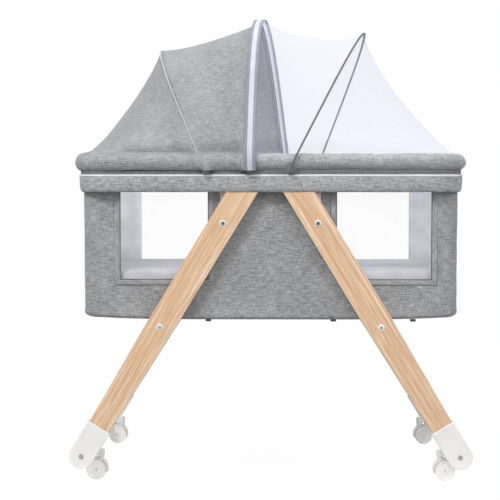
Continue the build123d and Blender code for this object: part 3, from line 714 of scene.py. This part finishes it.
window_marks = [side * x for side, edges in WINDOWS.items() for x in edges]
loop = wall_loop(WALL[0], WALL[1], WALL_CORNER, marks=window_marks)
rows = []
for k in (0.02, 0.25, 0.55, 0.8, 0.93, 1.0):
    sag = -0.0025 * (1 - k ** 4)
    rows.append([Vector(((x - nx * FLOOR_BEND) * k, (y - ny * FLOOR_BEND) * k, WALL[2] + sag))
                 for x, y, nx, ny in loop])
BEND_ANGLES = (0.3, 0.6, 0.85, 1.1, 1.35)
for a in BEND_ANGLES:
    rows.append([beside(spot, -FLOOR_BEND * (1 - math.sin(a)), WALL[2] + FLOOR_BEND * (1 - math.cos(a)))
                 for spot in loop])
first_wall = len(rows)
wall_foot = WALL[2] + FLOOR_BEND
for z in [wall_foot] + levels(wall_foot, WIN_Z[0], 7) + levels(*WIN_Z, 14) + levels(WIN_Z[1], WALL_TOP, 3):
    rows.append([beside(spot, wall_dent(spot[0], spot[1], z, spot[3]), z) for spot in loop])
for line in rows:
    for p in line:
        share = min(abs(p.x) / WALL[0], 1.0)
        p.z += CORNER_RISE * share ** 5 * smooth((WIN_Z[0] - p.z) / (WIN_Z[0] - WALL[2]))
run = lengths_along(loop)
uvs = []
for i, line in enumerate(rows):
    if i < first_wall - len(BEND_ANGLES):
        uvs.append([(p.x, p.y) for p in line])
    else:
        uvs.append([(r, p.z) for r, p in zip(run, line)])


def in_window(i, j):
    z = (rows[i][j].z + rows[i + 1][j].z) / 2
    x = (rows[i][j].x + rows[i][(j + 1) % len(loop)].x) / 2
    near, far = WINDOWS[1 if x > 0 else -1]
    return i >= first_wall and abs(loop[j][3]) > 0.9 and WIN_Z[0] < z < WIN_Z[1] and near < abs(x) < far


basket = grid_object("basket_cloth", rows, uvs, in_window, loop=True)
solidify(basket, thickness=WALL_T, offset=-1.0, use_rim=True, material_offset=1)
finish_piece(basket, LINEN, replaces=("basket_shell",))
basket.data.materials.append(LINING)


# ------------------------------------------------------------------ windows
PANE_STEPS, EDGE_STEP = 14, 0.012
# Sections of the tape and the cord round a window: distance out from its edge, and off the wall
TAPE = ((0.0016, 0.0001), (0.0020, 0.0006), (0.0128, 0.0006), (0.0132, 0.0001))
CORD = ((-0.0004, 0.0001), (0.0000, 0.0011), (0.0013, 0.0011), (0.0017, 0.0001))
STITCH_ROWS, STITCH_LIFT = (0.0045, 0.0105), 0.0006
STITCH_LONG, STITCH_PITCH, STITCH_HALF, STITCH_HIGH = 0.0034, 0.0052, 0.00055, 0.0005
STITCH_SLOPE = 0.0005                     # length of the slope at each end of a stitch


def window_panel(name, side, end):
    """A mesh window, drawn in a little at its middle."""
    x0, x1 = side * WINDOWS[side][0], side * WINDOWS[side][1]
    lines = []
    for i in range(PANE_STEPS + 1):
        v, line = i / PANE_STEPS, []
        for j in range(PANE_STEPS + 1):
            u = j / PANE_STEPS
            dip = PANE_DIP * math.sin(math.pi * u) ** 0.7 * math.sin(math.pi * v) ** 0.7
            line.append(Vector((x0 + (x1 - x0) * u, end * (WALL[1] - PANE_SET_BACK - dip),
                                WIN_Z[0] + (WIN_Z[1] - WIN_Z[0]) * v)))
        lines.append(line)
    return grid_object(name, lines, metric_uvs(lines))


def window_line(side, end, off, up):
    """Points round a window, off metres outside its edge and up metres off the cloth."""
    near, far = WINDOWS[side]
    x0, x1 = sorted((side * near, side * far))
    low, high = WIN_Z
    n_along, n_up = round((far - near) / EDGE_STEP), round((high - low) / EDGE_STEP)
    corners = ((x0 - off, low - off), (x1 + off, low - off), (x1 + off, high + off), (x0 - off, high + off))
    line = []
    for k, (x, z) in enumerate(corners):
        nx, nz = corners[(k + 1) % 4]
        n = n_up if k % 2 else n_along
        line += [Vector((x + (nx - x) * m / n, end * (WALL[1] + up), z + (nz - z) * m / n)) for m in range(n)]
    return line


def window_ring(name, side, end, section):
    lines = [window_line(side, end, off, up) for off, up in section]
    return grid_object(name, lines, metric_uvs(lines), loop=True)


def stitches(name, side, end):
    """Rows of single stitches round a window, each a small ridge."""
    bm = bmesh.new()
    for off in STITCH_ROWS:
        line = window_line(side, end, off, STITCH_LIFT)
        for a, b in zip(line, line[1:] + line[:1]):
            run = (b - a).length
            if run < STITCH_PITCH:
                continue
            along = (b - a).normalized()
            across, out = along.cross(Vector((0, 1, 0))) * STITCH_HALF, Vector((0, end * STITCH_HIGH, 0))
            count = round(run / STITCH_PITCH)
            for k in range(count):
                p = a + along * ((k + 0.5) * run / count - STITCH_LONG / 2)
                q = p + along * STITCH_LONG
                slope = along * STITCH_SLOPE
                low = [bm.verts.new(v) for v in (p - across, q - across, q + across, p + across)]
                tops = [bm.verts.new(v) for v in (p + slope + out, q - slope + out)]
                bm.faces.new((low[0], low[1], tops[1], tops[0]))
                bm.faces.new((low[2], low[3], tops[0], tops[1]))
                bm.faces.new((low[1], low[2], tops[1]))
                bm.faces.new((low[3], low[0], tops[0]))
    bmesh.ops.recalc_face_normals(bm, faces=bm.faces)
    return object_from(name, bm)


for tag, side, end in (("fl", -1, -1), ("fr", 1, -1), ("rl", -1, 1), ("rr", 1, 1)):
    pane = finish_piece(window_panel(f"window_net_{tag}", side, end), MESH_MAT,
                        replaces=(f"window_mesh_{tag}",))
    finish_piece(window_ring(f"window_tape_{tag}", side, end, TAPE), LINEN,
                 replaces=("window_bindings",) if tag == "fl" else ())
    # The cord round a window's opening takes the same darker linen
    finish_piece(window_ring(f"window_edge_{tag}", side, end, CORD), LINEN_SHADE_AND_EDGE)
    finish_piece(stitches(f"window_stitches_{tag}", side, end), THREAD)


# ------------------------------------------------------------------ padded roll, skirt and piping
def over_strip(x, a, r):
    """Radius of the roll where its cloth goes over a leg bracket on the inner side."""
    across = smooth(1 - (abs(abs(x) - STRIP_MID) - STRIP_HALF - STRIP_FADE[0]) / STRIP_FADE[1])
    inward, up = -math.cos(a), math.sin(a)
    if inward < 0.3 or across == 0:
        return r
    reach = STRIP_COVER[0] / inward
    if abs(up) > 0.01:
        reach = min(reach, (STRIP_COVER[1] if up > 0 else STRIP_COVER[2]) / abs(up))
    return r + across * max(0.0, reach - r)


centre = wall_loop(RAIL[0], RAIL[1], RAIL_CORNER, 0.010)
rows = []
for k in range(ROLL_SIDES + 1):
    a = math.tau * k / ROLL_SIDES
    line = []
    for spot in centre:
        q = Vector((spot[0] * 22, spot[1] * 22, 3.1 * math.sin(a)))
        r = ROLL_R - 0.0004 + 0.0011 * noise.noise(q) + 0.0006 * noise.noise(q * 2.6)
        r = over_strip(spot[0], a, r - 0.0018 * max(0.0, -math.sin(a)) ** 2)
        line.append(beside(spot, r * math.cos(a), RAIL[2] + r * math.sin(a)))
    rows.append(line)
run = lengths_along(centre)
uvs = [[(u, ROLL_R * math.tau * k / ROLL_SIDES) for u in run] for k in range(ROLL_SIDES + 1)]
roll = grid_object("padded_roll", rows, uvs, loop=True)
weld(roll)
finish_piece(roll, LINEN_ROLL, replaces=("rail_cover",))

# Distance out from the skirt's line and height, from its band down and round its open edge
SKIRT_SECTION = [(-0.0030, 0.7150), (-0.0024, 0.7060), (-0.0020, 0.7000), (0.0000, 0.6985), (0.0004, 0.6960),
                 (0.0002, 0.6900), (-0.0004, 0.6800), (-0.0014, 0.6720), (-0.0034, 0.6665), (-0.0060, 0.6640),
                 (-0.0085, 0.6650), (-0.0090, 0.6720)]
WAVES_FROM, LIFTS_FROM = 5, 8             # rows of the section from which the cloth waves and lifts
around = wall_loop(SKIRT[0], SKIRT[1], RAIL_CORNER + 0.008, 0.010)
rows = []
for k, (off, z) in enumerate(SKIRT_SECTION):
    line = []
    for spot in around:
        q = Vector((spot[0] * 16, spot[1] * 16, z * 6))
        wave = 0.0008 * noise.noise(q) if k >= WAVES_FROM else 0
        lift = 0.0008 * noise.noise(q * 0.7) if k >= LIFTS_FROM else 0
        line.append(beside(spot, off + wave, z + lift))
    rows.append(line)
run = lengths_along(around)
uvs = [[(u, z) for u in run] for off, z in SKIRT_SECTION]
skirt = grid_object("rail_skirt_cloth", rows, uvs, loop=True)
solidify(skirt, thickness=SKIRT_T, offset=-1.0)
# The skirt gets the lighter copy of the linen, which is painted light
finish_piece(skirt, LINEN_SKIRT_PAINTED_LIGHT, replaces=("rail_skirt",))
# The skirt's top band, in the recess under the roll, gets the darker linen as painted shade
skirt.data.materials.append(LINEN_SHADE_AND_EDGE)
for face in skirt.data.polygons:
    if face.center.z > SKIRT_TOP:
        face.material_index = 1

cord_path = [Vector((x, y, PIPING_Z + 0.0002 * noise.noise(Vector((x * 30, y * 30, 0)))))
             for x, y, nx, ny in wall_loop(SKIRT[0] - 0.0009, SKIRT[1] - 0.0009, RAIL_CORNER + 0.007, 0.008)]
finish_piece(ring_cord("piping_cord", cord_path, PIPING_R), PIPING, replaces=("rail_piping",))

# ------------------------------------------------------------------ mattress
low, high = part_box("mattress")
bed = wall_loop(high[0] - 0.001, high[1] - 0.001, 0.036, 0.02)
rows = []
for k, (inset, z) in enumerate(((0.0, low[2]), (0.0, low[2] + 0.02), (0.0005, high[2] - 0.02),
                                (0.003, high[2] - 0.008), (0.012, high[2] - 0.002), (0.03, high[2]),
                                (0.10, high[2]), (0.18, high[2]))):
    line = []
    for x, y, nx, ny in bed:
        puff = 0.0015 * noise.noise(Vector((x * 9, y * 9, k))) if k > 3 else 0
        line.append(Vector((x * (1 - inset / high[0]), y * (1 - inset / high[1]), z - abs(puff))))
    rows.append(line)
rows.append([Vector((p.x * 0.02, p.y * 0.02, high[2] - 0.001)) for p in rows[-1]])
mattress = grid_object("mattress_pad", rows, [[(p.x, p.y + p.z) for p in r] for r in rows], loop=True)
finish_piece(mattress, MATTRESS, replaces=("mattress",))


# ------------------------------------------------------------------ canopy
def plane_normal(foot):
    """Normal of a hoop's plane, towards the net end."""
    mid = (foot[0] + foot[1]) / 2
    n = Vector((foot[1] - foot[0], 2 * HOOP_HALF_Y, 0)).cross(Vector((foot[2] - mid, 0, foot[3] - HEM_Z)))
    n.normalize()
    return n if n.x > 0 else -n


def bend(obj, foot, direction, reach):
    """Bakes the object's transform into its mesh; foot, direction and reach change nothing, and the cloth is
    not bent.
    """
    at = Vector(((foot[0] + foot[1]) / 2, 0, HEM_Z))
    at + plane_normal(foot) * direction * reach
    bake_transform(obj)


def level_uvs(lines, foot, round_end):
    """Threads run level: u goes along the bassinet or round its end, v up from the hem."""
    if round_end:
        x0 = (foot[0] + foot[1]) / 2
        return [[(0.3 * math.atan2(p.y, abs(p.x - x0)), 1.15 * p.z) for p in line] for line in lines]
    uvs = []
    for metric in metric_uvs(lines):
        first, last = metric[0][0], metric[-1][0]
        uvs.append([(v, min(u - first, last - u)) for u, v in metric])
    return uvs


for label, side, foot, sag_at, mat, slot in (("hood", -1, HOOD, hood_sag, HOOD_LINEN, "linen"),
                                             ("net", 1, NET, net_sag, NET_MAT, "net")):
    seed = 1 if side < 0 else 2
    crown = ripple(crown_rows(side, foot, CROWN_SLACK[label]), (6, 16, 5), RIPPLE[label], seed)
    crown = hugged(crown, lambda u: smooth(min(u, 1 - u) / 0.22))
    ends = ripple(end_rows(side, foot, sag_at), (7, 13, 5), RIPPLE[label], seed + 2, 0.2)
    ends = hugged(ends, lambda w: smooth(w / 0.08))
    for part, lines, direction in (("crown", crown, -side), ("end", ends, side)):
        obj = grid_object(f"{label}_{part}", lines, level_uvs(lines, foot, part == "end"))
        if label == "hood":
            solidify(obj, thickness=HOOD_T, offset=0.0)
        obj.data.materials.append(mat)
        if label == "net":
            obj.data.materials.append(NET_HEM)
            for face in obj.data.polygons:
                face.material_index = 1 if face.center.z < NET_HEM_TOP else 0
        bend(obj, foot, direction, BEND_REACH[part])
        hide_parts(f"{label}_fabric")


def arch_band(name, foot, section, lift, first, taper=0.0, steps=120):
    """A strip over the cloth along a hoop, from share first of its length to as much before its end.

    The section holds distances along X and heights; the strip narrows over the share taper at its ends.
    """
    lines = []
    for dx, up in section:
        line = []
        for k in range(steps + 1):
            t = first + (1 - 2 * first) * k / steps
            wide = dx * (0.2 + 0.8 * smooth(min(t, 1 - t) / taper)) if taper else dx
            line.append(arch((foot[0] + wide, foot[1] + wide, foot[2] + wide, foot[3]), t, lift + up))
        lines.append(line)
    return grid_object(name, lines, metric_uvs(lines))


RIBBON_LIFT, RIBBON_START = HOOP_LIFT + 0.0012, 0.004
RIBBON_SECTION = [(-0.0030, 0.0), (-0.0025, 0.0012), (0.001, 0.0015), (0.005, 0.0015), (0.0087, 0.0012),
                  (0.0092, 0.0)]
ribbon = arch_band("zip_ribbon", MID, RIBBON_SECTION, RIBBON_LIFT, RIBBON_START)
finish_piece(ribbon, RIBBON, replaces=("canopy_ribbon",))
for label, x0, x1 in (("left", -0.0093, -0.0032), ("right", 0.0094, 0.0158)):
    section = [(x0, 0.0), (x0 + 0.0005, 0.0011), (x1 - 0.0005, 0.0011), (x1, 0.0)]
    edge = arch_band(f"zip_binding_{label}", MID, section, RIBBON_LIFT - 0.0002, RIBBON_START)
    finish_piece(edge, BINDING)

for label, foot, mat, slot, half, taper in (("hood", HOOD, HOOD_SEAM, "linen", 0.0019, 0.12),
                                            ("net", NET, SEAM, "ribbon", 0.0022, 0.0)):
    section = [(-half, 0.0), (-half * 0.5, 0.0008), (0, 0.0010), (half * 0.5, 0.0008), (half, 0.0)]
    seam = arch_band(f"{label}_seam", foot, section, HOOP_LIFT + 0.0004, 0.006, taper)
    finish_piece(seam, mat, f"{label}_hoop_body")

# ------------------------------------------------------------------ stage, light and camera
FEET = (0.41, 0.22)                       # where the casters stand, from the middle
BY_FEET, AWAY = (0.10, (0.74, 0.74, 0.74)), (0.22, (0.25, 0.25, 0.25))     # distances from them, and tones


def stage_material():
    """A floor that looks white, and throws light back onto the object mostly next to its feet."""
    mat, nt, bsdf = material("floor_white")
    place = coords(nt)
    squares = []
    for axis in (0, 1):
        off = math_node(nt, "SUBTRACT", math_node(nt, "ABSOLUTE", axis_of(nt, place, axis)), FEET[axis])
        squares.append(math_node(nt, "MULTIPLY", off, off))
    reach = math_node(nt, "SQRT", math_node(nt, "ADD", *squares))
    colour_by(nt, bsdf, reach, [BY_FEET, AWAY])
    set_surface(bsdf, 0.9)
    glow = node(nt, "ShaderNodeEmission", Color=(1, 1, 1, 1), Strength=1.0)
    away = node(nt, "ShaderNodeVectorMath", operation="LENGTH")
    nt.links.new(place, away.inputs[0])
    far = math_node(nt, "MULTIPLY", away.outputs["Value"], 0.045)
    white = math_node(nt, "ADD", far, 0.98, True)
    show(nt, mix_shader(nt, math_node(nt, "MULTIPLY", seen_plainly(nt), white), bsdf, glow))
    return mat


bm = bmesh.new()
bmesh.ops.create_circle(bm, cap_ends=True, segments=96, radius=9.0)
floor = object_from("floor", bm)
floor.location.z = -0.0005
floor.data.materials.append(stage_material())

world = bpy.data.worlds.new("studio")
bpy.context.scene.world = world
world.use_nodes = True
nt = world.node_tree
nt.nodes.clear()
out = nt.nodes.new("ShaderNodeOutputWorld")
soft = node(nt, "ShaderNodeBackground", Color=(1, 1, 1, 1), Strength=0.74)
white = node(nt, "ShaderNodeBackground", Color=(1, 1, 1, 1), Strength=1.0)
nt.links.new(mix_shader(nt, seen_plainly(nt), soft, white).outputs[0], out.inputs[0])

for name, place, target, size, power in (("key", (-1.4, -2.5, 3.0), (0, 0, 0.6), 1.1, 64),
                                         ("fill", (2.2, -2.6, 2.2), (0, 0, 0.6), 1.8, 26),
                                         ("top", (0.1, 0.0, 3.3), (0, 0, 0.7), 1.8, 36),
                                         ("inside", (-0.05, -0.04, 0.86), (-0.43, 0.04, 0.58), 0.18, 1.1)):
    data = bpy.data.lights.new(name, "AREA")
    data.shape, data.size, data.energy = "DISK", size, power
    lamp = new_object(name, data)
    lamp.location = place
    lamp.rotation_euler = (Vector(target) - Vector(place)).to_track_quat("-Z", "Y").to_euler()
    lamp.visible_camera = False

FOCAL_PX, IMAGE_PX, SENSOR_MM = 1309.0, 500, 36.0
VIEW_OFF = (20.5, 70)                     # pixels by which the view is turned left and down
camera_data = bpy.data.cameras.new("camera")
camera_data.sensor_width = SENSOR_MM
camera_data.lens = FOCAL_PX / IMAGE_PX * SENSOR_MM
camera = new_object("camera", camera_data)
camera.location = (0.0, -3.209, 0.6912)
yaw, pitch = (math.atan(off / FOCAL_PX) for off in VIEW_OFF)
camera.rotation_euler = (math.pi / 2 - pitch, 0.0, yaw)
bpy.context.scene.camera = camera
bpy.context.scene.view_settings.view_transform = "Standard"
